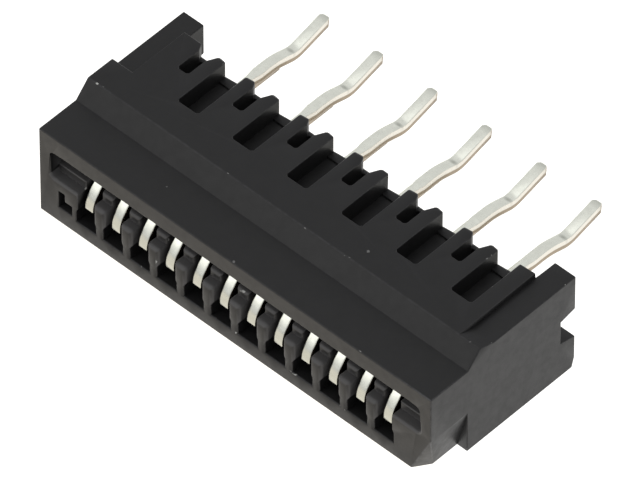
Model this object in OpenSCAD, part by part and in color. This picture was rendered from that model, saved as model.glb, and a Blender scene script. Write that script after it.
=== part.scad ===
// Board connector for a flat flexible cable: one moulded housing and twelve
// formed contacts with two rows of through-hole tails.
// Units are millimetres. The part lies on its flat side: X runs along the row,
// Y from the cable slot towards the tails, Z up. The origin is at the middle of
// the overall box, on its underside.

/* [Row] */
// Distance from one contact to the next
pitch = 1.25; // [1.24:0.01:1.3]
// Housing that stands past the last contact at each end
end_margin = 2.125; // [2.1:0.025:2.4]

/* [Housing body] */
// Height of the low front part
nose_height = 4.0; // [3.95:0.05:4.2]
// Depth of the low front part
nose_depth = 1.8; // [1.5:0.1:2.0]
// Depth of the slope behind it
slope_depth = 0.6; // [0.4:0.1:0.8]
// Height of the body
body_height = 4.65; // [4.6:0.05:4.9]
// Depth of the body between its end blocks
body_depth = 6.15; // [6.05:0.05:6.3]

/* [End blocks] */
// Width of each end block
end_width = 0.95; // [0.85:0.05:1.0]
// Drop of the left end block below the body's top
left_drop = 0.4; // [0.2:0.05:0.5]
// Drop of the right end block below the body's top
right_drop = 0.22; // [0.1:0.02:0.4]
// Distance from the slot's face to the step at the left end
left_step = 3.6; // [3.2:0.1:4.0]
// Depth of the ramp that lowers the top at the right end
right_ramp = 0.7; // [0.5:0.1:1.0]
// Standoff from the body's back to the board
standoff = 0.95; // [0.9:0.05:1.2]
// Setback of the notch between upper and lower foot, from the board
foot_notch = 0.7; // [0.4:0.05:0.75]
// Height of the lower foot
lower_foot = 1.5; // [1.2:0.05:1.6]
// Underside of the upper foot
upper_foot = 2.85; // [2.7:0.05:3.0]
// Rise and fall of the notch's sides towards the board
foot_draft = 0.15; // [0.05:0.05:0.2]
// Height of the bevel under the lower foot
foot_bevel_height = 0.45; // [0.2:0.05:0.6]
// Depth of the bevel under the lower foot
foot_bevel_depth = 0.12; // [0.05:0.01:0.2]

/* [Keyed corner] */
// Height at which the right end starts to taper in
key_height = 1.95; // [1.7:0.05:2.1]
// Inset of the right end at the underside
key_inset = 0.46; // [0.3:0.02:0.5]
// Width of the bevel on that corner, across the front
key_front = 0.88; // [0.6:0.02:0.95]
// Depth of the bevel on that corner
key_side = 0.62; // [0.4:0.02:0.8]
// Size of the square pocket in the front face, left of the first contact
pocket_width = 0.62; // [0.5:0.02:0.66]
// Distance from the left end to the pocket
pocket_margin = 0.87; // [0.8:0.01:0.95]
// Height of the pocket's floor
pocket_floor = 0.72; // [0.6:0.02:0.8]
// Height of the pocket's low part
pocket_low = 0.45; // [0.3:0.05:0.5]
// Height of the pocket's tall part
pocket_tall = 0.8; // [0.7:0.05:0.9]
// Width of the pocket's tall part
pocket_slim = 0.28; // [0.2:0.02:0.34]
// Depth of the pocket
pocket_depth = 0.6; // [0.3:0.1:0.8]

/* [Cable slot] */
// Wall at each end of the slot's mouth
mouth_wall = 0.5; // [0.45:0.05:0.55]
// Rounding of the mouth's corners
mouth_round = 0.2; // [0.1:0.05:0.3]
// Height of the mouth's lower edge
mouth_low = 1.97; // [1.9:0.01:2.0]
// Wall over the mouth at its front edge
mouth_top_wall = 0.75; // [0.7:0.05:0.8]
// Depth of the step inside the mouth's lower edge
mouth_step = 0.43; // [0.35:0.02:0.5]
// Depth of the lead-in under the top wall
lead_depth = 0.9; // [0.7:0.1:1.2]
// Height of the ribs' tops, on which the cable slides
rib_top = 2.3; // [2.25:0.05:2.35]
// Clear height of the cable channel
channel_height = 0.55; // [0.5:0.05:0.6]
// Width of the cable that the channel takes
cable_width = 16.25; // [16.2:0.05:16.3]
// Side clearance of the cable in the channel
cable_clearance = 0.07; // [0.05:0.01:0.1]
// Depth of the channel from the slot's face
channel_depth = 4.2; // [4.0:0.1:4.3]

/* [Contact cavities] */
// Width of a cavity between its ribs
cavity_width = 0.71; // [0.66:0.01:0.74]
// Width of a cavity near its floor
cavity_foot_width = 0.87; // [0.84:0.01:0.9]
// Height at which a cavity starts to narrow
cavity_step = 1.1; // [1.0:0.05:1.2]
// Height of a cavity's floor
cavity_floor = 0.6; // [0.5:0.05:0.65]
// Depth of a cavity from the slot's face
cavity_depth = 4.35; // [4.3:0.05:4.4]

/* [Comb over the tails] */
// Width of the wide openings to the left of their contacts
wide_left = 0.44; // [0.4:0.02:0.46]
// Width of the wide openings to the right of their contacts
wide_right = 0.5; // [0.44:0.02:0.54]
// Distance from the slot's face to the wide openings
wide_start = 3.7; // [3.5:0.1:4.0]
// Width of the narrow openings
narrow_opening = 0.48; // [0.4:0.02:0.5]
// Distance from the slot's face to the narrow openings
narrow_start = 4.8; // [4.6:0.05:5.0]
// Depth of the openings below the body's top
opening_depth = 0.8; // [0.65:0.05:0.82]
// Drop of the bars behind the wide openings
wide_bar_drop = 0.72; // [0.5:0.02:0.74]
// Drop of the bars behind the narrow openings
narrow_bar_drop = 0.6; // [0.5:0.02:0.62]
// Thickness of the bars behind the wide openings
wide_bar = 0.4; // [0.3:0.05:0.45]
// Thickness of the bars behind the narrow openings
narrow_bar = 0.22; // [0.17:0.01:0.25]
// Flare of the narrow openings' left side at the back
flare_left = 0.14; // [0.05:0.01:0.16]
// Flare of the narrow openings' right side at the back
flare_right = 0.25; // [0.1:0.01:0.28]
// Flare of the wide openings' sides at the back
wide_flare = 0.02; // [0.01:0.01:0.04]
// Bevel on the openings' front corners
opening_bevel = 0.08; // [0.04:0.01:0.12]

/* [Contacts] */
// Thickness of the sprung front part
blade = 0.2; // [0.18:0.01:0.22]
// Width of the sprung front part
blade_width = 0.4; // [0.38:0.01:0.42]
// Thickness of the seat and the tail
tail = 0.4; // [0.36:0.01:0.42]
// Width of the seat and the tail
tail_width = 0.42; // [0.4:0.01:0.44]
// Step of each barb beyond the seat's side
barb_step = 0.05; // [0.03:0.01:0.06]
// Length of each barb
barb_length = 0.25; // [0.2:0.01:0.3]
// Length over which the strip widens to its seat, and from there to its barbs
shoulder = 0.1; // [0.06:0.01:0.12]
// Side clearance of a contact in its tunnel
seat_clearance = 0.02; // [0.01:0.005:0.03]
// Setback of the contact's front from the slot's face
tip_setback = 0.17; // [0.12:0.01:0.2]
// Height of the odd contacts' front ends
odd_tip = 1.35; // [1.3:0.01:1.37]
// Height of the even contacts' front ends
even_tip = 1.23; // [1.2:0.01:1.3]
// Height at which the front end bends back
tip_bend = 1.64; // [1.62:0.01:1.68]
// Radius of that bend, at the centreline
tip_radius = 0.8; // [0.5:0.1:0.8]
// Depth of the gentle bend halfway up the front
rise_depth = 0.64; // [0.6:0.01:0.66]
// Height of that gentle bend
rise_height = 2.18; // [2.14:0.01:2.22]
// Radius of that gentle bend, at the centreline
rise_radius = 2; // [1:0.2:2]
// Depth of the crest that presses on the cable
crest_depth = 1.25; // [1.22:0.01:1.3]
// Height of the crest's centreline
crest_height = 2.74; // [2.7:0.01:2.76]
// Distance from the slot's face to the seat's front
seat_start = 4.45; // [4.45:0.01:4.5]
// Height of the seat that the strip lies on
seat_height = 1.27; // [1.24:0.01:1.3]
// Radius of the crest's centreline
crest_radius = 0.5; // [0.4:0.05:0.55]
// Radius of the strip's other bends, at the centreline
bend_radius = 0.28; // [0.25:0.01:0.3]

/* [Tails] */
// Distance between the two rows of tails
row_spacing = 2.05; // [2.0:0.01:2.1]
// Distance from the slot's face to the upper contacts' upright part
upright = 5.42; // [5.35:0.01:5.45]
// Length of the kinked tails past the board face
kinked_length = 3.5; // [3.3:0.05:3.8]
// Length of the straight tails past the board face
straight_length = 2.4; // [2.3:0.05:3.3]
// Start of the kink past the board face
kink_start = 0.85; // [0.8:0.05:0.95]
// Radius of the kink's first bend, at the centreline
kink_start_radius = 2.5; // [1.5:0.1:2.6]
// Middle of the kink past the board face
kink_middle = 1.82; // [1.8:0.01:1.9]
// Radius of the kink's second bend, at the centreline
kink_middle_radius = 0.9; // [0.5:0.1:1]
// Drop of the kink
kink_drop = 0.28; // [0.2:0.01:0.3]
// Rise of the kinked tail from the kink to its end
kink_rise = 0.46; // [0.4:0.01:0.52]
// Width of the neck between the barbs and the tail
neck_width = 0.28; // [0.24:0.01:0.34]
// Setback of the neck's end from the board face
neck_setback = 0.4; // [0.3:0.05:0.5]
// Length over which the neck widens to the tail
neck_flare = 0.45; // [0.3:0.05:0.5]
// Length of the pointed end
point_length = 0.16; // [0.1:0.01:0.2]
// Width of the flat at the pointed end
point_width = 0.22; // [0.18:0.01:0.28]

/* [Hidden] */
contacts = 12;
eps = 0.01;
arc_steps = 6;
row_length = pitch * (contacts - 1);
length = row_length + 2 * end_margin;
half_length = length / 2;
big = 2 * length;
board_face = body_depth + standoff;
overall_depth = board_face + kinked_length;
slope_end = nose_depth + slope_depth;
notch_face = board_face - foot_notch;
mouth_half = half_length - mouth_wall;
mouth_top = nose_height - mouth_top_wall;
channel_half = cable_width / 2 + cable_clearance;
channel_top = rib_top + channel_height;
opening_floor = body_height - opening_depth;
seat_level = seat_height + tail / 2;
upper_level = seat_level + row_spacing;
tip_level = tip_setback + blade / 2;
barb_half = tail_width / 2 + barb_step;
tunnel_half = barb_half + seat_clearance;

// Place of contact i along the row, counted from 1 at the left end
function place(i) = (i - 1) * pitch - row_length / 2;

// Extrudes an outline drawn in Y and Z along the row
module along_row(from, to) {
  translate([from, 0, 0]) rotate([90, 0, 90]) linear_extrude(height = to - from) children();
}

// Extrudes an outline drawn in X and Z from the slot's face backwards
module backwards(from, to) {
  translate([0, to, 0]) rotate([90, 0, 0]) linear_extrude(height = to - from) children();
}

module block(x0, x1, y0, y1, z0, z1) {
  translate([x0, y0, z0]) cube([x1 - x0, y1 - y0, z1 - z0]);
}

// ---- Housing -------------------------------------------------------------

module body_section() {
  polygon([[0, 0], [0, nose_height], [nose_depth, nose_height], [slope_end, body_height],
    [body_depth, body_height], [body_depth, 0]]);
}

// Section of an end block; its top falls by drop between crest and foot
module end_section(crest, foot, drop) {
  end_height = body_height - drop;
  polygon([[0, 0], [0, nose_height], [nose_depth, nose_height], [slope_end, body_height],
    [crest, body_height], [foot, end_height], [board_face, end_height],
    [board_face, upper_foot], [notch_face, upper_foot - foot_draft],
    [notch_face, lower_foot + foot_draft], [board_face, lower_foot],
    [board_face, foot_bevel_height], [board_face - foot_bevel_depth, 0]]);
}

module mouth_outline() {
  span = mouth_half - mouth_round;
  rise = mouth_top - mouth_low - 2 * mouth_round;
  translate([-mouth_half, mouth_low + mouth_round]) square([2 * mouth_half, rise]);
  translate([-span, mouth_low]) square([2 * span, mouth_top - mouth_low]);
  for (x = [-span, span], z = [mouth_low + mouth_round, mouth_top - mouth_round])
    translate([x, z]) circle(r = mouth_round, $fn = 24);
}

module mouth_cut() {
  intersection() {
    backwards(-eps, lead_depth) mouth_outline();
    along_row(-half_length, half_length)
      polygon([[-eps, mouth_low], [-eps, mouth_top], [0, mouth_top], [lead_depth, channel_top],
        [lead_depth, rib_top], [mouth_step, rib_top], [mouth_step, mouth_low]]);
  }
  block(-channel_half, channel_half, mouth_step, channel_depth, rib_top, channel_top);
}

module cavity_section() {
  flank = (cavity_foot_width - cavity_width) / 2;
  wide = cavity_foot_width / 2;
  slim = cavity_width / 2;
  polygon([[-wide, cavity_floor], [-wide, cavity_step], [-slim, cavity_step + 2 * flank],
    [-slim, rib_top + eps], [slim, rib_top + eps], [slim, cavity_step + 2 * flank],
    [wide, cavity_step], [wide, cavity_floor]]);
}

// Room behind a cavity, open to the back, through which the contact goes in;
// its top clears a strip at the given level
module tunnel(level) {
  block(-tunnel_half, tunnel_half, cavity_depth - eps, body_depth + eps, seat_height,
    level + tail / 2 + seat_clearance);
}

// Opening in the top from -a to b; a low bar closes it at the back, and above
// that bar its sides flare by fa and fb
module comb_opening(a, b, start, bar, bar_drop, fa, fb) {
  o = opening_bevel;
  front = [[-a, start + o], [o - a, start], [b - o, start], [b, start + o]];
  depth = body_depth - bar;
  bar_top = body_height - bar_drop;
  translate([0, 0, opening_floor]) linear_extrude(height = opening_depth + eps)
    polygon(concat(front, [[b, depth], [-a, depth]]));
  translate([0, 0, bar_top]) linear_extrude(height = bar_drop + eps)
    polygon(concat(front, [[b, body_depth - 2 * fb], [b + fb, body_depth],
      [b + fb, body_depth + eps], [-a - fa, body_depth + eps], [-a - fa, body_depth],
      [-a, body_depth - 2 * fa]]));
}

module contact_room(i) {
  upper = i % 2 == 0;
  half = narrow_opening / 2;
  translate([place(i), 0, 0]) {
    backwards(-eps, cavity_depth) cavity_section();
    tunnel(upper ? upper_level : seat_level);
    if (upper) comb_opening(wide_left, wide_right, wide_start, wide_bar, wide_bar_drop,
      wide_flare, wide_flare);
    if (!upper) comb_opening(half, half, narrow_start, narrow_bar, narrow_bar_drop,
      flare_left, flare_right);
  }
}

// Tapered and bevelled lower corner at the right end of the front
module keyed_corner() {
  outside = half_length + key_inset;
  backwards(-eps, nose_depth)
    polygon([[half_length - 2 * key_inset, -key_height], [half_length, key_height],
      [outside, key_height], [outside, -key_height]]);
  // plane through the taper's top and the two ends of the bevel on the underside
  across = [key_inset - key_front, -key_side, 0];
  rise = [key_front, 0, key_height];
  normal = [across[1] * rise[2] - across[2] * rise[1], across[2] * rise[0] - across[0] * rise[2],
    across[0] * rise[1] - across[1] * rise[0]];
  tilt = acos(normal[2] / norm(normal));
  heading = atan2(normal[1], normal[0]);
  intersection() {
    translate([half_length - key_front, 0, 0]) rotate([0, tilt + 180, heading])
      translate([-big / 2, -big / 2, 0]) cube(big);
    block(half_length - 2 * key_front, outside, -key_front, nose_depth, -key_height,
      2 * key_height);
  }
}

module corner_pocket() {
  left = -half_length + pocket_margin;
  block(left, left + pocket_width, -eps, pocket_depth, pocket_floor, pocket_floor + pocket_low);
  block(left, left + pocket_slim, -eps, pocket_depth, pocket_floor, pocket_floor + pocket_tall);
}

module housing_shape() {
  inner = half_length - end_width;
  difference() {
    union() {
      along_row(-inner, inner) body_section();
      along_row(-half_length, -inner) end_section(left_step, left_step, left_drop);
      along_row(inner, half_length)
        end_section(slope_end, slope_end + right_ramp, right_drop);
    }
    mouth_cut();
    for (i = [1 : contacts]) contact_room(i);
    keyed_corner();
    corner_pocket();
  }
}

// ---- Contacts ------------------------------------------------------------

function unit(v) = v / norm(v);
function left(v) = [-v[1], v[0]];
function turned(v, a) = [v[0] * cos(a) - v[1] * sin(a), v[0] * sin(a) + v[1] * cos(a)];
function heading(p, i) = unit([p[i + 1][0] - p[i][0], p[i + 1][1] - p[i][1]]);
function bend(a, b) = atan2(a[0] * b[1] - a[1] * b[0], a * b);
function spot(p, i) = [p[i][0], p[i][1]];

// Points on the side g (1 left, -1 right) of the rounded bend at corner i
function bend_side(p, i, g) =
  let (a = heading(p, i - 1), b = heading(p, i), w = bend(a, b), h = sign(w), r = p[i][2],
    s = g * p[i][3] / 2,
    c = spot(p, i) - a * r * tan(abs(w) / 2) + left(a) * r * h)
  [for (k = [0 : arc_steps]) c - left(turned(a, w * k / arc_steps)) * h * (r - s * h)];

// One side of a strip that follows the path p of [y, z, bend radius, thickness]
function strip_side(p, g) =
  let (n = len(p) - 1, a = heading(p, 0), b = heading(p, n - 1), s = g * p[n][3] / 2)
  concat([spot(p, 0) + left(a) * g * p[0][3] / 2],
    [for (i = [1 : n - 1]) for (q = bend_side(p, i, g)) q],
    [spot(p, n) - b * point_length + left(b) * s],
    [spot(p, n) + left(b) * s * point_width / tail_width]);

function reversed(v) = [for (i = [len(v) - 1 : -1 : 0]) v[i]];

module strip_outline(p) {
  polygon(concat(strip_side(p, 1), reversed(strip_side(p, -1))));
}

// Sprung front: up from the end, back over the crest, down to the seat
function spring_path(tip) = [[tip_level, tip, 0, blade], [tip_level, tip_bend, tip_radius, blade],
  [rise_depth, rise_height, rise_radius, blade], [crest_depth, crest_height, crest_radius, blade],
  [seat_start - tail, seat_level, bend_radius, tail]];

function lower_path() = concat(spring_path(odd_tip),
  [[board_face + straight_length, seat_level, 0, tail]]);

function upper_path() = concat(spring_path(even_tip),
  [[upright, seat_level, bend_radius, tail], [upright, upper_level, bend_radius, tail],
    [board_face + kink_start, upper_level, kink_start_radius, tail],
    [board_face + kink_middle, upper_level - kink_drop, kink_middle_radius, tail],
    [board_face + kinked_length, upper_level - kink_drop + kink_rise, 0, tail]]);

// Outline seen from above: blade, seat with barbs, neck, tail with its pointed end
module plan_outline(end) {
  b = blade_width / 2;
  t = tail_width / 2;
  neck = neck_width / 2;
  from = seat_start + shoulder;
  to = from + barb_length;
  neck_end = board_face - neck_setback;
  half = [[b, 0], [b, seat_start - shoulder], [t, seat_start], [t, from], [tunnel_half, to],
    [t, to], [neck, to + shoulder], [neck, neck_end], [t, neck_end + neck_flare],
    [t, end - point_length], [point_width / 2, end]];
  polygon(concat(half, [for (q = reversed(half)) [-q[0], q[1]]]));
}

module contact(i) {
  upper = i % 2 == 0;
  end = board_face + (upper ? kinked_length : straight_length);
  translate([place(i), 0, 0]) intersection() {
    along_row(-2 * tunnel_half, 2 * tunnel_half)
      strip_outline(upper ? upper_path() : lower_path());
    linear_extrude(height = body_height) plan_outline(end);
  }
}

// ---- Nodes ---------------------------------------------------------------

module placed() {
  translate([0, -overall_depth / 2, 0]) children();
}

module housing() {
  color([0.12, 0.12, 0.13]) placed() housing_shape();
}

module tin_contact(i) {
  color([0.82, 0.82, 0.8]) placed() contact(i);
}

housing();
tin_contact(1);  // contact_1
tin_contact(2);  // contact_2
tin_contact(3);  // contact_3
tin_contact(4);  // contact_4
tin_contact(5);  // contact_5
tin_contact(6);  // contact_6
tin_contact(7);  // contact_7
tin_contact(8);  // contact_8
tin_contact(9);  // contact_9
tin_contact(10);  // contact_10
tin_contact(11);  // contact_11
tin_contact(12);  // contact_12
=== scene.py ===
import math

import bpy
from mathutils import Matrix, Vector


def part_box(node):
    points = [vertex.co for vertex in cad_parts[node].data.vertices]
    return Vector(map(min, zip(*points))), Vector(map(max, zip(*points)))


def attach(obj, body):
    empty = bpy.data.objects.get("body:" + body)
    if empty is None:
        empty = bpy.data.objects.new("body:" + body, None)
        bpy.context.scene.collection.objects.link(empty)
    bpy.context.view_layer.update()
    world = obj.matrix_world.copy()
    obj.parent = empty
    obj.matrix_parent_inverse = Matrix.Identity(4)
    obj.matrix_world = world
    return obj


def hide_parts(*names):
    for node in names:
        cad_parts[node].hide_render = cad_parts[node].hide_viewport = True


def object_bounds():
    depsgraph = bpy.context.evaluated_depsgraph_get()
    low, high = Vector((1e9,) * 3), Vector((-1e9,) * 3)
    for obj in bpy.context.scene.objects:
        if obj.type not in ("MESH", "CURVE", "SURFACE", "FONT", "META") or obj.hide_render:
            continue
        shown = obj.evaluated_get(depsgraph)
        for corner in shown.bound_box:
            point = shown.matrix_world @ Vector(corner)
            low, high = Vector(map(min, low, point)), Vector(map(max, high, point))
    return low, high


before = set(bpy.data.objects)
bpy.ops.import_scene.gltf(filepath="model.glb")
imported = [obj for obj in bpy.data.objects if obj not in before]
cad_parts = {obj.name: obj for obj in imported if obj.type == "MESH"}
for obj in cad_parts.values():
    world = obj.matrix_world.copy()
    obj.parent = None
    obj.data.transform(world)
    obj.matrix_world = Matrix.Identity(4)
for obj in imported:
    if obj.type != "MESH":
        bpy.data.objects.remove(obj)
cad_low, cad_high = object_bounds()

# Board connector for a flat flexible cable. The scene is in metres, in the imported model's frame:
# X runs along the contact row, Y from the cable slot towards the tails, Z up. The pieces are shaped
# in millimetres and brought back to metres, because edges this short are near the modelling tools'
# tolerances. Lengths below are in millimetres unless they are times MM.

MM = 0.001
MERGE = 0.001
FLAT_ANGLE = math.radians(0.5)
ROUND_STEPS = 3
FLAT_SLOT, ROUND_SLOT = 0, 1

housing_low, housing_high = (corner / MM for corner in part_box("housing"))
CONTACTS = sorted((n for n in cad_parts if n.startswith("contact_")),
                  key=lambda name: int(name.split("_")[1]))


# ---- Selecting and modelling ----------------------------------------------

def only(piece):
    """Leaves this piece as the one that is selected and active."""
    bpy.ops.object.select_all(action="DESELECT")
    piece.select_set(True)
    bpy.context.view_layer.objects.active = piece


def open_mesh():
    bpy.ops.object.mode_set(mode="EDIT")


def close_mesh():
    bpy.ops.object.mode_set(mode="OBJECT")


def open_whole(piece):
    """Opens the piece's mesh with all of it selected."""
    only(piece)
    open_mesh()
    bpy.ops.mesh.select_all(action="SELECT")


def clear_selection(piece, kind):
    """Makes the piece active and clears its mesh's selection, ready to pick this kind in code."""
    only(piece)
    open_mesh()
    bpy.ops.mesh.select_mode(type=kind)
    bpy.ops.mesh.select_all(action="DESELECT")
    close_mesh()


WALL_FACING = 0.99


def cut_walls(piece, places):
    """Cuts the walls across the cable's way at these X places, so that no part has a hole in it."""
    clear_selection(piece, "FACE")
    for x in places:
        for face in piece.data.polygons:
            face.select = abs(face.normal.y) > WALL_FACING
        open_mesh()
        bpy.ops.mesh.bisect(plane_co=(x, 0, 0), plane_no=(1, 0, 0))
        bpy.ops.mesh.mark_seam()
        bpy.ops.mesh.select_all(action="DESELECT")
        close_mesh()


def merged_copy(node, name, cuts=()):
    """A copy of a CAD node's shape, in millimetres, its loose triangles merged into flat faces."""
    piece = bpy.data.objects.new(name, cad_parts[node].data.copy())
    piece.data.name = name
    piece.data.transform(Matrix.Scale(1 / MM, 4))
    bpy.context.scene.collection.objects.link(piece)
    only(piece)
    bpy.ops.mesh.customdata_custom_splitnormals_clear()
    open_whole(piece)
    bpy.ops.mesh.remove_doubles(threshold=MERGE)
    close_mesh()
    cut_walls(piece, cuts)
    open_whole(piece)
    bpy.ops.mesh.dissolve_limited(angle_limit=FLAT_ANGLE, delimit={"SEAM"})
    close_mesh()
    piece.data.materials.clear()
    return piece


def edge_facts(mesh):
    """For each edge: its middle, its run, the angle between its faces and whether it is convex."""
    faces_of = {}
    for face in mesh.polygons:
        for key in face.edge_keys:
            faces_of.setdefault(key, []).append(face)
    for edge in mesh.edges:
        a, b = (mesh.vertices[i].co for i in edge.vertices)
        sides = faces_of[tuple(sorted(edge.vertices))]
        angle = 0.0
        convex = False
        if len(sides) == 2:
            angle = sides[0].normal.angle(sides[1].normal, 0.0)
            around = list(sides[0].vertices)
            start = around.index(edge.vertices[0])
            forward = around[(start + 1) % len(around)] == edge.vertices[1]
            turn = sides[0].normal.cross(sides[1].normal).dot(b - a)
            convex = turn > 0 if forward else turn < 0
        yield edge.index, ((a + b) / 2, b - a, angle, convex)


MOST_ROOM = 1.0
ROOM_TAKEN = 0.42
STRAIGHT_ON = 0.85


def limited(mesh, share, width):
    """The same shares, cut back where a crossing edge leaves too little room.

    An edge that only carries on in the same direction, as the facets of a bend do, takes no room."""
    meeting = [[] for _ in mesh.vertices]
    for edge in mesh.edges:
        for end in edge.vertices:
            meeting[end].append(edge)

    def run_from(edge, end):
        other = edge.vertices[1] if edge.vertices[0] == end else edge.vertices[0]
        return mesh.vertices[other].co - mesh.vertices[end].co

    def room(edge):
        crossing = [MOST_ROOM]
        for end in edge.vertices:
            ahead = -run_from(edge, end).normalized()
            for other in meeting[end]:
                run = run_from(other, end)
                if other.index != edge.index and run.normalized().dot(ahead) < STRAIGHT_ON:
                    crossing.append(run.length)
        return min(crossing)

    def share_of(index, facts):
        return min(share(*facts), ROOM_TAKEN * room(mesh.edges[index]) / width)
    return share_of


def round_edges(piece, width, share):
    """Rounds edges; share gives each one's part of width. The rounded faces get ROUND_SLOT."""
    mesh = piece.data
    share_of = limited(mesh, share, width)
    weights = mesh.attributes.new("bevel_weight_edge", "FLOAT", "EDGE")
    for index, facts in edge_facts(mesh):
        weights.data[index].value = share_of(index, facts)
    mesh.materials.append(None)
    mesh.materials.append(None)
    only(piece)
    bpy.ops.object.modifier_add(type="BEVEL")
    rounding = piece.modifiers[-1]
    rounding.limit_method = "WEIGHT"
    rounding.width = width
    rounding.segments = ROUND_STEPS
    rounding.use_clamp_overlap = False
    rounding.material = ROUND_SLOT
    rounding.loop_slide = True
    bpy.ops.object.modifier_apply(modifier=rounding.name)


def clear_slots(piece):
    """Drops the empty slots that told the rounded faces from the flat ones."""
    for face in piece.data.polygons:
        face.material_index = FLAT_SLOT
    piece.data.materials.clear()


def keep_inside(piece, node):
    """Brings vertices that rounding left a hair outside back to the CAD node's box."""
    low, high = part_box(node)
    for point in piece.data.vertices:
        point.co = [min(max(value, a), b) for value, a, b in zip(point.co, low, high)]


def smooth_finish(piece, angle):
    """Splits the many-sided faces, takes the piece back to metres and shades it smooth."""
    open_whole(piece)
    bpy.ops.mesh.quads_convert_to_tris(quad_method="BEAUTY", ngon_method="BEAUTY")
    close_mesh()
    piece.data.transform(Matrix.Scale(MM, 4))
    bpy.ops.object.shade_smooth_by_angle(angle=angle)
    bpy.ops.object.modifier_add(type="WEIGHTED_NORMAL")
    even = piece.modifiers[-1]
    even.keep_sharp = True
    even.weight = 100
    bpy.ops.object.modifier_apply(modifier=even.name)


def middle_of(node):
    """The X of a node's middle."""
    low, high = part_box(node)
    return (low.x + high.x) / 2 / MM


# ---- Housing ---------------------------------------------------------------

# Places. FRONT is the face with the slot's mouth, and TOUCH is how near counts as at a place.
TOUCH = 0.02
FRONT = housing_low.y
BODY_BACK = FRONT + 6.15
MOUTH_LOW = 1.97
MOUTH_TOP = 3.25
MOUTH_ARC = 0.25
MOUTH_HALF = 8.5
MOUTH_STEP = FRONT + 0.43
ROW_HALF = housing_high.x - 1.8
OPENINGS_START = FRONT + 3
COMB_LOW = 3.5
COMB_TOUCH = 0.06
POCKET = -8.0

# Rounding: its width, then each kind of edge's share of it.
HOUSING_ROUND = 0.18
HOUSING_FLATTEST = math.radians(20)
HOUSING_SMOOTH = math.radians(40)
RUN_ALONG = 0.9
RIB = 0.85
MOUTH = 1.0
MOUTH_SIDE = 0.65
COMB_END = 0.7
BLOCK = 0.25
OPENING = 0.25
PLAIN = 0.28

# Flares of the comb up to this long are merged away, and their points end up to FLARE_REST short.
FLARE = 0.05
FLARE_REST = 0.04

# Edge wear with painted highlight: the front's edges past BRIGHT_EDGES_END have it in full, and the
# others PLAIN_EDGE_SHARE of it.
BRIGHT_EDGES_END = housing_high.x - 1.2
BRIGHT_EDGES_DEPTH = 0.3
PLAIN_EDGE_SHARE = 0.22

# Where the mouth's upward faces get painted light, a lighter colour for the light that the roof keeps
# off them: how deep, how high, and how far up such a face must point.
LIT_MOUTH_DEPTH = 1.7
LIT_MOUTH_LOW = 1.0
LIT_MOUTH_HIGH = 2.3
LIT_MOUTH_FACING = 0.3


def drop_tiny_flares(piece):
    """Merges the smallest flares at the comb's back into its corners, so that these can be rounded."""
    clear_selection(piece, "VERT")
    mesh = piece.data
    for point in mesh.vertices:
        at_back = BODY_BACK - FLARE < point.co.y < BODY_BACK + TOUCH
        point.select = at_back and point.co.z > COMB_LOW
    picked = [v.co.copy() for v in mesh.vertices if v.select]
    for point in mesh.vertices:
        close = any(TOUCH < (other - point.co).length < FLARE for other in picked)
        point.select = point.select and close
    open_mesh()
    bpy.ops.mesh.remove_doubles(threshold=FLARE)
    close_mesh()
    for point in mesh.vertices:
        if BODY_BACK - FLARE_REST < point.co.y < BODY_BACK and point.co.z > COMB_LOW:
            point.co.y = BODY_BACK


def housing_edge_share(middle, run, angle, convex):
    """How round each of the housing's edges is, as a share of HOUSING_ROUND."""
    if not convex or angle < HOUSING_FLATTEST:
        return 0.0
    upright = abs(run.z) > RUN_ALONG * run.length
    at_front = abs(middle.y - FRONT) < TOUCH
    in_row = abs(middle.x) < ROW_HALF
    if at_front and in_row and upright and middle.z < MOUTH_LOW:
        return RIB
    mouth_height = MOUTH_LOW - TOUCH < middle.z < MOUTH_TOP - TOUCH
    if at_front and mouth_height and abs(middle.x) < MOUTH_HALF + TOUCH:
        if in_row:
            return MOUTH
        return MOUTH_SIDE if middle.z < MOUTH_TOP - MOUTH_ARC else 0.0
    if abs(middle.y - MOUTH_STEP) < TOUCH and in_row:
        return RIB
    at_back = abs(middle.y - BODY_BACK) < COMB_TOUCH
    if at_back and in_row and middle.z > housing_high.z / 2:
        return COMB_END
    if abs(middle.x) > housing_high.x - TOUCH:
        return BLOCK
    if middle.z > housing_high.z - TOUCH and in_row and middle.y > OPENINGS_START:
        return OPENING
    return PLAIN


def mark_wear_and_highlight(piece):
    """Keeps how worn and lightened the rounded edges are, wear with painted highlight, as the attribute
    edge, which is 0 where flats begin.
    """
    mesh = piece.data
    flat_touch = [False] * len(mesh.vertices)
    round_touch = [False] * len(mesh.vertices)
    for face in mesh.polygons:
        touch = round_touch if face.material_index == ROUND_SLOT else flat_touch
        for index in face.vertices:
            touch[index] = True
    mark = mesh.attributes.new("edge", "FLOAT", "POINT")
    for point in mesh.vertices:
        if round_touch[point.index] and not flat_touch[point.index]:
            bright_edge = point.co.x > BRIGHT_EDGES_END and point.co.y < FRONT + BRIGHT_EDGES_DEPTH
            mark.data[point.index].value = 1.0 if bright_edge else PLAIN_EDGE_SHARE


def mark_mouth(piece):
    """Keeps which points lie on the upper faces of the slot's mouth, where a lighter colour is painted
    light, as an attribute.
    """
    mesh = piece.data
    mark = mesh.attributes.new("painted_mouth_light", "FLOAT", "POINT")
    for face in mesh.polygons:
        low = min(mesh.vertices[i].co.z for i in face.vertices)
        in_mouth = FRONT + TOUCH < face.center.y < FRONT + LIT_MOUTH_DEPTH
        if in_mouth and LIT_MOUTH_LOW < low < LIT_MOUTH_HIGH and face.normal.z > LIT_MOUTH_FACING:
            for index in face.vertices:
                mark.data[index].value = 1.0


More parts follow.
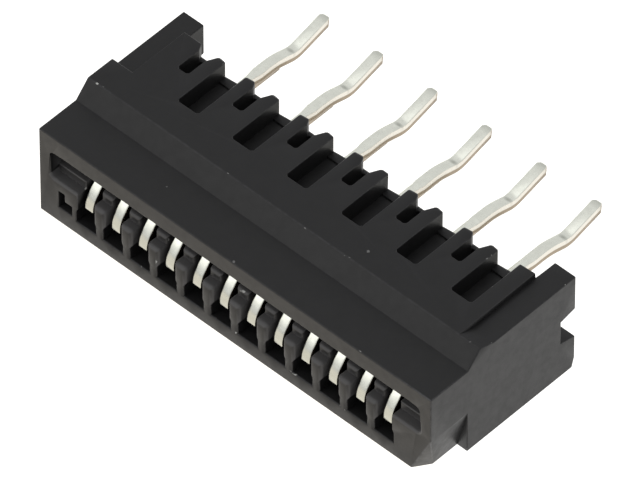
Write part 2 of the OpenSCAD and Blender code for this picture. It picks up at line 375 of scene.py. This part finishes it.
def build_housing(material):
    cuts = [POCKET] + [middle_of(node) for node in CONTACTS]
    piece = merged_copy("housing", "moulded_housing", cuts)
    drop_tiny_flares(piece)
    round_edges(piece, HOUSING_ROUND, housing_edge_share)
    mark_wear_and_highlight(piece)
    clear_slots(piece)
    mark_mouth(piece)
    smooth_finish(piece, HOUSING_SMOOTH)
    piece.data.materials.append(material)
    keep_inside(piece, "housing")
    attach(piece, "root")
    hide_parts("housing")


# ---- Contacts --------------------------------------------------------------

# Rounding: its width, then each kind of edge's share of it. A plain edge has a share of 1.
STRIP_ROUND = 0.035
STRIP_FLATTEST = math.radians(40)
STRIP_SMOOTH = math.radians(35)
ROLLED_SIDE = 1.7
TIP_CORNER = 3.0
TIP_DEPTH = 0.5

# How far a face must point along the strip to be its end, or sideways to be a cut side. A side that
# points out more than WHOLLY_SIDEWAYS is flat, and the flared sides of a tail's neck stand upright.
STRIP_END = 0.1
END_FACING = 0.6
CUT_FACING = 0.75
WHOLLY_SIDEWAYS = 0.995
FLARED_FACING = 0.6
UPRIGHT = 0.05


def strip_edge_share(node):
    """Rounds the strip's corners, more on the side that the punch met, and leaves its flat facets."""
    centre = middle_of(node)
    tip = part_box(node)[0].z / MM

    def share(middle, run, angle, convex):
        if not convex or angle < STRIP_FLATTEST:
            return 0.0
        left = middle.x < centre
        at_tip = middle.y < FRONT + TIP_DEPTH and middle.z < tip + TOUCH
        if at_tip and left and abs(run.y) > RUN_ALONG * run.length:
            return TIP_CORNER
        return ROLLED_SIDE if left else 1.0
    return share


def mark_strip(piece, node):
    """Keeps on each point where it is along the strip, and how far across the cut sides it lies.

    The attribute place is X from the strip's middle, Y and Z in millimetres. Across is 0 on the
    strip's lower edge and 1 on its upper edge, and cut is 1 on the cut sides and ends."""
    mesh = piece.data
    centre = middle_of(node)
    tail_end = max(v.co.y for v in mesh.vertices)
    tip = min(v.co.z for v in mesh.vertices)
    # All three are made before any is held, because making one can move the others.
    mesh.attributes.new("place", "FLOAT_VECTOR", "POINT")
    mesh.attributes.new("across", "FLOAT", "POINT")
    mesh.attributes.new("cut", "FLOAT", "FACE")
    place, across, cut = (mesh.attributes[name] for name in ("place", "across", "cut"))
    upward = [0.0] * len(mesh.vertices)
    for face in mesh.polygons:
        facing, centred = face.normal, face.center
        sideways = abs(facing.x)
        ends = centred.y > tail_end - STRIP_END and facing.y > END_FACING
        ends = ends or (centred.z < tip + TOUCH and facing.z < -END_FACING)
        cut.data[face.index].value = float(ends or sideways > CUT_FACING)
        flared = centred.y > 0 and sideways > FLARED_FACING and abs(facing.z) < UPRIGHT
        if ends or flared or sideways > WHOLLY_SIDEWAYS:
            continue
        for index in face.vertices:
            upward[index] += (facing.z - facing.y) * face.area
    for point in mesh.vertices:
        place.data[point.index].vector = (point.co.x - centre, point.co.y, point.co.z)
        across.data[point.index].value = float(upward[point.index] > 0)


def build_contact(node):
    piece = merged_copy(node, "tinned_" + node)
    round_edges(piece, STRIP_ROUND, strip_edge_share(node))
    clear_slots(piece)
    mark_strip(piece, node)
    smooth_finish(piece, STRIP_SMOOTH)
    return piece


def copy_contact(model, source, node):
    """The same contact at another place in the row, with a mesh of its own."""
    piece = bpy.data.objects.new("tinned_" + node, model.data.copy())
    piece.data.name = "tinned_" + node
    bpy.context.scene.collection.objects.link(piece)
    along = (middle_of(node) - middle_of(source)) * MM
    piece.data.transform(Matrix.Translation((along, 0, 0)))
    return piece


def build_contacts(material):
    """Shapes one contact of each row and copies it to the others' places."""
    for first in (0, 1):
        row = CONTACTS[first::2]
        model = build_contact(row[0])
        for node in row:
            piece = model if node == row[0] else copy_contact(model, row[0], node)
            piece.data.materials.append(material)
            keep_inside(piece, node)
            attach(piece, "root")
            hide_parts(node)


# ---- Shader nodes ----------------------------------------------------------

def add(tree, kind, at=(0, 0), values=None, **settings):
    """Adds a shader node, sets its properties, and fills or links its inputs."""
    made = tree.nodes.new(kind)
    made.location = at
    for key, value in settings.items():
        setattr(made, key, value)
    for socket, value in (values or {}).items():
        fill(tree, made.inputs[socket], value)
    return made


def fill(tree, socket, value):
    """Links an input to another node's output, or sets it to a plain value."""
    if isinstance(value, bpy.types.NodeSocket):
        tree.links.new(value, socket)
    else:
        socket.default_value = value


def cleared_tree(owner):
    """A material's or world's own shader nodes, with none in them yet."""
    owner.use_nodes = True
    owner.node_tree.nodes.clear()
    return owner.node_tree


def group(name, inputs, outputs):
    """A node group with named inputs (name, kind, default) and outputs (name, kind)."""
    tree = bpy.data.node_groups.new(name, "ShaderNodeTree")
    for label, kind, default in inputs:
        socket = tree.interface.new_socket(label, in_out="INPUT", socket_type="NodeSocket" + kind)
        if default is not None:
            socket.default_value = default
    for label, kind in outputs:
        tree.interface.new_socket(label, in_out="OUTPUT", socket_type="NodeSocket" + kind)
    source = add(tree, "NodeGroupInput", (-900, 0))
    result = add(tree, "NodeGroupOutput", (700, 0))
    return tree, source.outputs, result.inputs


def place_group(tree, made, at, vector, **values):
    """Places a node group and gives it this vector and these values; its one output comes back."""
    return add(tree, "ShaderNodeGroup", at, {"Vector": vector, **values}, node_tree=made).outputs[0]


def ramp(tree, at, fac, stops):
    """A colour ramp from grey levels at places along fac."""
    made = add(tree, "ShaderNodeValToRGB", at, {0: fac})
    band = made.color_ramp
    while len(band.elements) < len(stops):
        band.elements.new(0.5)
    for element, (where, level) in zip(band.elements, stops):
        element.position = where
        element.color = (level, level, level, 1)
    return made.outputs["Color"]


def noise(tree, at, vector, scale, detail=3.0, rough=0.6):
    values = {"Vector": vector, "Scale": scale, "Detail": detail, "Roughness": rough}
    return add(tree, "ShaderNodeTexNoise", at, values).outputs["Fac"]


def maths(tree, at, operation, *values, clamp=False):
    made = add(tree, "ShaderNodeMath", at, dict(enumerate(values)), operation=operation)
    made.use_clamp = clamp
    return made.outputs[0]


def vector_maths(tree, at, operation, *values):
    made = add(tree, "ShaderNodeVectorMath", at, dict(enumerate(values)), operation=operation)
    return made.outputs["Value" if operation == "LENGTH" else "Vector"]


def marked(tree, at, name):
    """Reads a number that the shaping kept on the piece."""
    return add(tree, "ShaderNodeAttribute", at, attribute_name=name).outputs["Fac"]


def strip_place(tree, at):
    """Reads the place along the strip, in millimetres."""
    return add(tree, "ShaderNodeAttribute", at, attribute_name="place").outputs["Vector"]


def parts_of(tree, at, vector):
    """A vector's X, Y and Z."""
    return add(tree, "ShaderNodeSeparateXYZ", at, {0: vector}).outputs


def blend_colour(tree, at, fac, first, second, kind="MIX"):
    made = add(tree, "ShaderNodeMix", at, data_type="RGBA", blend_type=kind)
    sockets = {socket.identifier: socket for socket in made.inputs}
    fill(tree, sockets["Factor_Float"], fac)
    fill(tree, sockets["A_Color"], first)
    fill(tree, sockets["B_Color"], second)
    return next(s for s in made.outputs if s.identifier == "Result_Color")


# ---- Effects ---------------------------------------------------------------

# The sprung blade ends at BLADE_END, its crest is at height CREST, and up to SHADED_FRONT_END its front
# below the crest is painted darker, as painted shade.
# The tail's dent at SHADED_DENT is painted darker, as painted shade, and the tail is darker from COINED
# on, over its coined tip.
FLECK_SHIFT = (0.1 * MM, 0.1 * MM, 0.1 * MM)
BLADE_END = FRONT + 4.3
CREST = 2.75
SHADED_FRONT_END = FRONT + 1.2
SHADED_DENT = (0.04, FRONT + 8.74, 3.62)
SHADED_DENT_SQUEEZE = (4.2, 8.0, 1.2)
COINED = FRONT + 10.2
COINED_RISE = 2.2


def make_mottle():
    """Cloudy variation of brightness, about 1 in the middle."""
    tree, given, out = group("mottle", [("Vector", "Vector", None), ("Scale", "Float", 2500.0),
                                        ("Amount", "Float", 0.1)], [("Level", "Float")])
    cloudy = noise(tree, (-600, 0), given["Vector"], given["Scale"], detail=4.0)
    centred = maths(tree, (-400, 0), "SUBTRACT", cloudy, 0.5)
    spread = maths(tree, (-200, 0), "MULTIPLY", centred, given["Amount"])
    level = maths(tree, (0, 0), "MULTIPLY_ADD", spread, 2.0, 1.0)
    tree.links.new(level, out["Level"])
    return tree


def make_flecks():
    """Sparse small specks of dust, as a mask."""
    tree, given, out = group("flecks", [("Vector", "Vector", None), ("Scale", "Float", 1500.0),
                                        ("Size", "Float", 0.1), ("Share", "Float", 0.1)],
                             [("Mask", "Float")])
    warp = add(tree, "ShaderNodeTexNoise", (-700, -200), {"Vector": given["Vector"], "Scale": 9000.0})
    shift = vector_maths(tree, (-500, -100), "MULTIPLY", warp.outputs["Color"], FLECK_SHIFT)
    moved = vector_maths(tree, (-350, 0), "ADD", given["Vector"], shift)
    cells = add(tree, "ShaderNodeTexVoronoi", (-150, 0), {"Vector": moved, "Scale": given["Scale"]})
    near = maths(tree, (50, 100), "LESS_THAN", cells.outputs["Distance"], given["Size"])
    lot = add(tree, "ShaderNodeSeparateColor", (50, -100), {0: cells.outputs["Color"]})
    picked = maths(tree, (250, -100), "LESS_THAN", lot.outputs[0], given["Share"])
    mask = maths(tree, (420, 0), "MULTIPLY", near, picked)
    tree.links.new(mask, out["Mask"])
    return tree


def make_edge_wear_and_highlight():
    """How worn and lightened each rounded edge is, wear with painted highlight: the edge mark broken up
    by noise.
    """
    tree, given, out = group("edge_wear_and_highlight", [("Vector", "Vector", None), ("Scale", "Float", 4000.0),
                                           ("Amount", "Float", 0.5)], [("Mask", "Float")])
    mark = marked(tree, (-700, 150), "edge")
    broken = noise(tree, (-700, -100), given["Vector"], given["Scale"])
    patchy = ramp(tree, (-500, -100), broken, [(0.35, 0.25), (0.65, 1.0)])
    wear_and_highlight = maths(tree, (-200, 50), "MULTIPLY", mark, patchy)
    mask = maths(tree, (0, 0), "MULTIPLY", wear_and_highlight, given["Amount"], clamp=True)
    tree.links.new(mask, out["Mask"])
    return tree


def make_nicks():
    """Small light nicks, here and there along the rounded edges."""
    tree, given, out = group("nicks", [("Vector", "Vector", None), ("Scale", "Float", 2600.0)],
                             [("Mask", "Float")])
    on_edge = maths(tree, (-500, 150), "GREATER_THAN", marked(tree, (-700, 150), "edge"), 0.1)
    spots = noise(tree, (-700, -100), given["Vector"], given["Scale"], detail=2.0, rough=0.5)
    few = ramp(tree, (-500, -100), spots, [(0.69, 0.0), (0.73, 1.0)])
    mask = maths(tree, (0, 0), "MULTIPLY", on_edge, few)
    tree.links.new(mask, out["Mask"])
    return tree


def make_cut_metal():
    """How bare the sheared sides are: tin is smeared over their upper part, copper shows below."""
    tree, given, out = group("cut_metal", [("Vector", "Vector", None), ("Scale", "Float", 9000.0)],
                             [("Bare", "Float")])
    across = marked(tree, (-700, 200), "across")
    along = parts_of(tree, (-700, 0), strip_place(tree, (-900, 0)))["Y"]
    line = ramp(tree, (-450, 250), across, [(0.0, 0.8), (0.1, 1.2), (0.42, 1.2), (0.56, 0.0)])
    blade = maths(tree, (-450, 0), "LESS_THAN", along, BLADE_END)
    bare = maths(tree, (-250, 150), "MAXIMUM", line, blade)
    broken = noise(tree, (-700, -200), given["Vector"], given["Scale"])
    patchy = ramp(tree, (-450, -200), broken, [(0.3, 0.85), (0.6, 1.0)])
    broken_up = maths(tree, (-50, 100), "MULTIPLY", bare, patchy)
    cut = marked(tree, (-700, -400), "cut")
    result = maths(tree, (150, 0), "MULTIPLY", broken_up, cut, clamp=True)
    tree.links.new(result, out["Bare"])
    return tree


def make_dent_shade_and_tip_marks():
    """Darker marks on the strip: painted shade in the forming tool's dent before the second bend, and
    the darker coined tip.

    The vector is the place along the strip."""
    tree, given, out = group("dent_shade_and_tip_marks", [("Vector", "Vector", None)], [("Mask", "Float")])
    place = given["Vector"]
    from_dent = vector_maths(tree, (-700, 150), "SUBTRACT", place, SHADED_DENT)
    squeezed = vector_maths(tree, (-550, 150), "MULTIPLY", from_dent, SHADED_DENT_SQUEEZE)
    away = vector_maths(tree, (-400, 150), "LENGTH", squeezed)
    dent_shade = ramp(tree, (-200, 150), away, [(0.25, 1.0), (1.0, 0.0)])
    along = parts_of(tree, (-700, -150), place)["Y"]
    past = maths(tree, (-450, -150), "SUBTRACT", along, COINED)
    coined = maths(tree, (-250, -150), "MULTIPLY", past, COINED_RISE, clamp=True)
    both = maths(tree, (100, 0), "MAXIMUM", dent_shade, coined)
    tree.links.new(both, out["Mask"])
    return tree


def make_painted_front_shade():
    """How much the sprung front is painted darker below its bright crest, as painted shade.

    The vector is the place along the strip."""
    tree, given, out = group("painted_front_shade", [("Vector", "Vector", None)], [("Mask", "Float")])
    apart = parts_of(tree, (-700, 0), given["Vector"])
    front = maths(tree, (-450, 150), "LESS_THAN", apart["Y"], SHADED_FRONT_END)
    height = maths(tree, (-450, -100), "DIVIDE", apart["Z"], CREST)
    low = ramp(tree, (-250, -100), height, [(0.45, 0.8), (0.58, 1.0), (0.72, 0.9), (0.86, 0.0)])
    mask = maths(tree, (100, 0), "MULTIPLY", front, low)
    tree.links.new(mask, out["Mask"])
    return tree


mottle = make_mottle()
flecks = make_flecks()
edge_wear_and_highlight = make_edge_wear_and_highlight()
nicks = make_nicks()
cut_metal = make_cut_metal()
dent_shade_and_tip_marks = make_dent_shade_and_tip_marks()
painted_front_shade = make_painted_front_shade()


# ---- Materials -------------------------------------------------------------

PLASTIC = (0.0112, 0.011, 0.0112, 1)
WORN_AND_HIGHLIT_PLASTIC = (0.06, 0.06, 0.062, 1)
MOUTH_LIGHT_PLASTIC = (0.07, 0.068, 0.068, 1)
NICKED_PLASTIC = (0.4, 0.4, 0.38, 1)
DUST = (0.35, 0.35, 0.34, 1)
DUST_COVER = 0.35
PLASTIC_IOR = 1.36

TIN = (0.86, 0.87, 0.78, 1)
SMEARED_TIN = (0.72, 0.69, 0.62, 1)
DENT_SHADE_AND_TIP_TIN = (0.3, 0.31, 0.27, 1)
DENT_SHADE_AND_TIP_DEPTH = 0.6
SHADED_FRONT_TIN = (0.47, 0.48, 0.44, 1)
COPPER = (0.3, 0.24, 0.17, 1)
DRAWN_OUT = (1, 0.12, 1)


def new_material(name):
    """A material with a shader joined to its output, and the vector its textures use."""
    made = bpy.data.materials.new(name)
    tree = cleared_tree(made)
    surface = add(tree, "ShaderNodeBsdfPrincipled", (600, 0))
    result = add(tree, "ShaderNodeOutputMaterial", (900, 0), {"Surface": surface.outputs[0]})
    result.is_active_output = True
    vector = add(tree, "ShaderNodeTexCoord", (-1500, 0)).outputs["Object"]
    return made, tree, surface.inputs, vector


def roughness(tree, vector, scale, rough, low, high):
    """Cloudy roughness between two levels."""
    cloudy = noise(tree, (-800, -420), vector, scale, rough=rough)
    return ramp(tree, (-500, -420), cloudy, [(0.3, low), (0.7, high)])


def bump(tree, height, strength, distance):
    values = {"Height": height, "Strength": strength, "Distance": distance}
    return add(tree, "ShaderNodeBump", (200, -500), values).outputs[0]


def black_plastic():
    """Matte black moulded plastic: fine eroded grain, faint mottling, dust, worn edges lightened partly
    as painted highlight, and painted light on the mouth's upward faces.
    """
    made, tree, surface, vector = new_material("black_moulded_plastic")
    level = place_group(tree, mottle, (-1100, 200), vector, Scale=1800.0, Amount=0.22)
    colour = blend_colour(tree, (-700, 200), 1.0, PLASTIC, level, "MULTIPLY")
    # Lighter plastic along the rounded edges: partly wear and partly a painted highlight.
    wear_and_highlight = place_group(tree, edge_wear_and_highlight, (-1100, 0), vector, Scale=5000.0, Amount=1.2)
    colour = blend_colour(tree, (-400, 200), wear_and_highlight, colour, WORN_AND_HIGHLIT_PLASTIC)
    # Painted light: the mouth's upward faces get a lighter colour for the light that the roof keeps off
    # them.
    painted_mouth_light = marked(tree, (-700, 0), "painted_mouth_light")
    colour = blend_colour(tree, (-250, 300), painted_mouth_light, colour, MOUTH_LIGHT_PLASTIC)
    nicked = place_group(tree, nicks, (-1100, -100), vector, Scale=2600.0)
    colour = blend_colour(tree, (-180, 300), nicked, colour, NICKED_PLASTIC)
    dust = place_group(tree, flecks, (-1100, -200), vector, Scale=1500.0, Size=0.075, Share=0.06)
    softened = maths(tree, (-800, -200), "MULTIPLY", dust, DUST_COVER)
    colour = blend_colour(tree, (-100, 200), softened, colour, DUST)
    tree.links.new(colour, surface["Base Color"])
    tree.links.new(roughness(tree, vector, 3500.0, 0.55, 0.36, 0.46), surface["Roughness"])
    grain = noise(tree, (-800, -700), vector, 22000.0, detail=4.0, rough=0.65)
    tree.links.new(bump(tree, grain, 0.35, 0.004 * MM), surface["Normal"])
    surface["IOR"].default_value = PLASTIC_IOR
    return made


def tin_plate():
    """Matte tin over copper alloy: soft silver, faint rolling marks, copper where it was sheared, and
    painted shade in the tail's dent and on the front below its crest.
    """
    made, tree, surface, vector = new_material("matte_tin_plate")
    level = place_group(tree, mottle, (-1100, 300), vector, Scale=5000.0, Amount=0.14)
    colour = blend_colour(tree, (-700, 300), 1.0, TIN, level, "MULTIPLY")
    cut = marked(tree, (-1100, 520), "cut")
    colour = blend_colour(tree, (-500, 400), cut, colour, SMEARED_TIN)
    place = strip_place(tree, (-1300, 720))
    # Painted shade in the tail's dent, and a darker coined tip.
    dent_shade_and_tip = place_group(tree, dent_shade_and_tip_marks, (-1100, 650), place)
    darker = maths(tree, (-700, 650), "MULTIPLY", dent_shade_and_tip, DENT_SHADE_AND_TIP_DEPTH)
    colour = blend_colour(tree, (-350, 400), darker, colour, DENT_SHADE_AND_TIP_TIN)
    # Painted shade: the sprung front is darker below its bright crest.
    front_shade = place_group(tree, painted_front_shade, (-1100, 800), place)
    colour = blend_colour(tree, (-280, 500), front_shade, colour, SHADED_FRONT_TIN)
    bare = place_group(tree, cut_metal, (-1100, 50), vector)
    colour = blend_colour(tree, (-200, 250), bare, colour, COPPER)
    tree.links.new(colour, surface["Base Color"])
    surface["Metallic"].default_value = 1.0
    tree.links.new(roughness(tree, vector, 7000.0, 0.6, 0.24, 0.36), surface["Roughness"])
    drawn = add(tree, "ShaderNodeMapping", (-1100, -700), {"Vector": vector, "Scale": DRAWN_OUT})
    lines = noise(tree, (-800, -700), drawn.outputs[0], 30000.0)
    tree.links.new(bump(tree, lines, 0.25, 0.003 * MM), surface["Normal"])
    return made


# ---- Floor, light and camera -----------------------------------------------

FLOOR_SIZE = 3.0
FLOOR_GLOW = 1.25
FLOOR_TINT = (1.0, 0.99, 0.97, 1)
FLOOR_TINT_AHEAD = (1.0, 0.935, 0.83, 1)
TINT_START = -4.0 * MM
TINT_FULL = -6.5 * MM
FLOOR_LIT = (0.8, 0.8, 0.8, 1)
FLOOR_SHADOW = (0.14, 0.14, 0.14, 1)
ROOM_COLOUR = (0.98, 0.985, 1, 1)
ROOM_LIGHT = 0.72


def build_floor():
    """A white floor that glows, with a faint shadow, where it is seen or mirrored.

    To all other light it is plain and pale. The glow is a little warmer ahead of the part."""
    bpy.ops.mesh.primitive_plane_add(size=FLOOR_SIZE, location=(0, 0, 0))
    floor = bpy.context.object
    floor.name = "floor"
    made = bpy.data.materials.new("pale_floor")
    tree = cleared_tree(made)
    path = add(tree, "ShaderNodeLightPath", (-600, 200)).outputs
    seen = maths(tree, (-400, 200), "MAXIMUM", path["Is Camera Ray"], path["Is Glossy Ray"])
    spot = add(tree, "ShaderNodeTexCoord", (-1000, 400)).outputs["Object"]
    depth = parts_of(tree, (-800, 400), spot)["Y"]
    span = TINT_START - TINT_FULL
    ahead = maths(tree, (-600, 400), "MULTIPLY_ADD", depth, -1 / span, TINT_START / span, clamp=True)
    tint = blend_colour(tree, (-400, 400), ahead, FLOOR_TINT, FLOOR_TINT_AHEAD)
    glow = add(tree, "ShaderNodeEmission", (-200, 200), {"Color": tint, "Strength": FLOOR_GLOW})
    matte = add(tree, "ShaderNodeBsdfDiffuse", (-200, 0), {"Color": FLOOR_LIT})
    faint = add(tree, "ShaderNodeBsdfDiffuse", (-200, -200), {"Color": FLOOR_SHADOW})
    both = add(tree, "ShaderNodeAddShader", (0, 200), {0: glow.outputs[0], 1: faint.outputs[0]})
    mixed = add(tree, "ShaderNodeMixShader", (200, 100),
                {0: seen, 1: matte.outputs[0], 2: both.outputs[0]})
    add(tree, "ShaderNodeOutputMaterial", (400, 100), {"Surface": mixed.outputs[0]})
    floor.data.materials.append(made)


def build_world():
    """Plain white to the camera, and a soft cool room to everything else."""
    world = bpy.data.worlds.new("soft_room")
    tree = cleared_tree(world)
    path = add(tree, "ShaderNodeLightPath", (-600, 200)).outputs
    room = add(tree, "ShaderNodeBackground", (-200, 0), {"Color": ROOM_COLOUR, "Strength": ROOM_LIGHT})
    white = add(tree, "ShaderNodeBackground", (-200, 200), {"Color": (1, 1, 1, 1), "Strength": 1.0})
    mixed = add(tree, "ShaderNodeMixShader", (0, 100),
                {0: path["Is Camera Ray"], 1: room.outputs[0], 2: white.outputs[0]})
    add(tree, "ShaderNodeOutputWorld", (200, 100), {"Surface": mixed.outputs[0]})
    bpy.context.scene.world = world


def face_part(held, aim, azimuth, elevation, distance):
    """Puts a lamp or camera that looks along its own -Z at this distance from aim, looking at it.

    The angles are in degrees: azimuth 0 is in front of the slot, and 90 beyond the row's high X end."""
    a, e = math.radians(azimuth), math.radians(elevation)
    back = Vector((math.sin(a) * math.cos(e), -math.cos(a) * math.cos(e), math.sin(e)))
    held.location = aim + back * distance
    held.rotation_euler = (-back).to_track_quat("-Z", "Y").to_euler()
    bpy.context.scene.collection.objects.link(held)


def build_lamp(name, azimuth, elevation, distance, size, power, colour):
    """A square soft lamp that faces the part's middle."""
    lamp = bpy.data.lights.new(name, "AREA")
    lamp.size = size
    lamp.energy = power
    lamp.color = colour
    middle = (cad_low + cad_high) / 2
    face_part(bpy.data.objects.new(name, lamp), middle, azimuth, elevation, distance)


CAMERA_AZIMUTH = 43.146
CAMERA_ELEVATION = 47.610
CAMERA_DISTANCE = 477.44 * MM
CAMERA_AIM = Vector((0.346, -1.431, 2.330)) * MM
SENSOR_WIDTH = 36.0
FOCAL_LENGTH = 800.7


def build_camera():
    lens = bpy.data.cameras.new("camera")
    lens.sensor_width = SENSOR_WIDTH
    lens.lens = FOCAL_LENGTH
    lens.clip_start = 0.05
    lens.clip_end = 10.0
    camera = bpy.data.objects.new("camera", lens)
    face_part(camera, CAMERA_AIM, CAMERA_AZIMUTH, CAMERA_ELEVATION, CAMERA_DISTANCE)
    bpy.context.scene.camera = camera


build_housing(black_plastic())
build_contacts(tin_plate())

build_floor()
build_world()
build_lamp("key", azimuth=-33, elevation=30, distance=0.5, size=0.42, power=0.46,
           colour=(1.0, 0.99, 0.97))
build_lamp("overhead", azimuth=-70, elevation=70, distance=0.5, size=0.4, power=0.2,
           colour=(1.0, 1.0, 1.0))
build_camera()
bpy.context.scene.view_settings.view_transform = "Standard"
